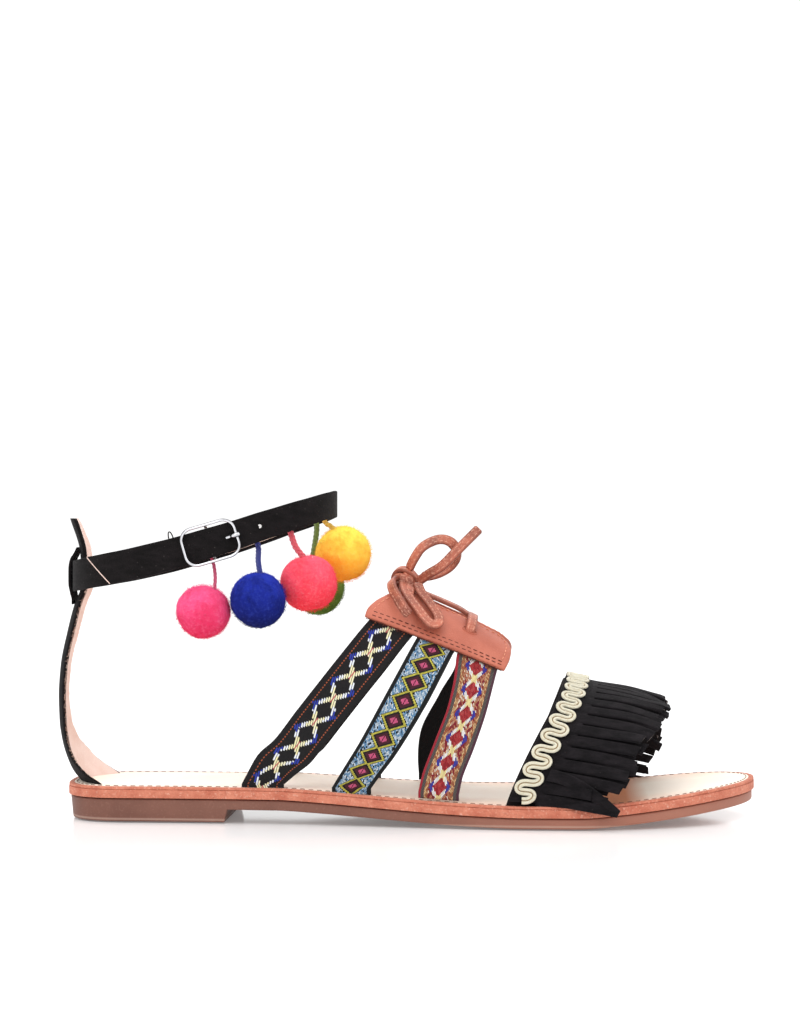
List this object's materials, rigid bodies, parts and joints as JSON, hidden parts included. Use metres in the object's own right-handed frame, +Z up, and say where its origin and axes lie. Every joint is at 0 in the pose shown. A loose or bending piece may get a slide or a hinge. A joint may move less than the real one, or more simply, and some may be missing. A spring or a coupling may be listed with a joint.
{
  "type": "flat sandal",
  "caption": "Flat sandal with woven ribbon straps under laced tan leather pads, a suede fringe and gold braid over the toes, and a buckled black ankle strap hung with felt balls.",
  "frame": {"origin": "middle of the heel's flat ground spot, on the floor", "axes": "+X along the shoe towards the toe, +Y to the inner (medial) side of the right foot, +Z up"},
  "size_m": [0.2571, 0.0941, 0.1191],
  "materials": {
    "sole_rubber": "matt, smooth moulded brown",
    "midsole_leather": "terracotta leather, slightly grainy cut edge",
    "insole_leather": "pale peach-beige, matt",
    "black_suede": "matt black suede",
    "fringe_suede": "charcoal suede with a slight sheen",
    "buckle_metal": "polished",
    "ribbon_rear": "woven jacquard ribbon, black ground with cream crosses",
    "ribbon_middle": "woven jacquard ribbon, dark diamonds in yellow zigzags",
    "ribbon_front": "woven jacquard ribbon, red ground with white crosses",
    "pad_leather": "tan leather with fine grain",
    "lace_leather": "flat tan thong, worn grain",
    "gold_braid": "pale gold double-cord braid",
    "felt_pink": "wool felt",
    "felt_blue": "wool felt",
    "felt_coral": "wool felt",
    "felt_green": "wool felt",
    "felt_yellow": "wool felt"
  },
  "bodies": {
    "root": {"outsole": "sole_rubber", "midsole": "midsole_leather", "insole": "insole_leather", "heel_strip": "black_suede", "heel_loop": "black_suede", "ankle_strap": "black_suede", "buckle_frame": "buckle_metal", "buckle_prong": "buckle_metal", "ribbon_lateral_rear": "ribbon_rear", "ribbon_lateral_middle": "ribbon_middle", "ribbon_lateral_front": "ribbon_front", "ribbon_medial_rear": "ribbon_rear", "ribbon_medial_middle": "ribbon_middle", "ribbon_medial_front": "ribbon_front", "pad_lateral": "pad_leather", "pad_medial": "pad_leather", "lace_bars": "lace_leather", "lace_knot": "lace_leather", "lace_loop_upper": "lace_leather", "lace_loop_lower": "lace_leather", "lace_end_upper": "lace_leather", "lace_end_lower": "lace_leather", "toe_band": "black_suede", "fringe": "fringe_suede", "gold_braid": "gold_braid", "ball_pink": "felt_pink", "ball_cord_pink": "felt_pink", "ball_blue": "felt_blue", "ball_cord_blue": "felt_blue", "ball_coral": "felt_coral", "ball_cord_coral": "felt_coral", "ball_green": "felt_green", "ball_cord_green": "felt_green", "ball_yellow": "felt_yellow", "ball_cord_yellow": "felt_yellow"}
  },
  "joints": []
}
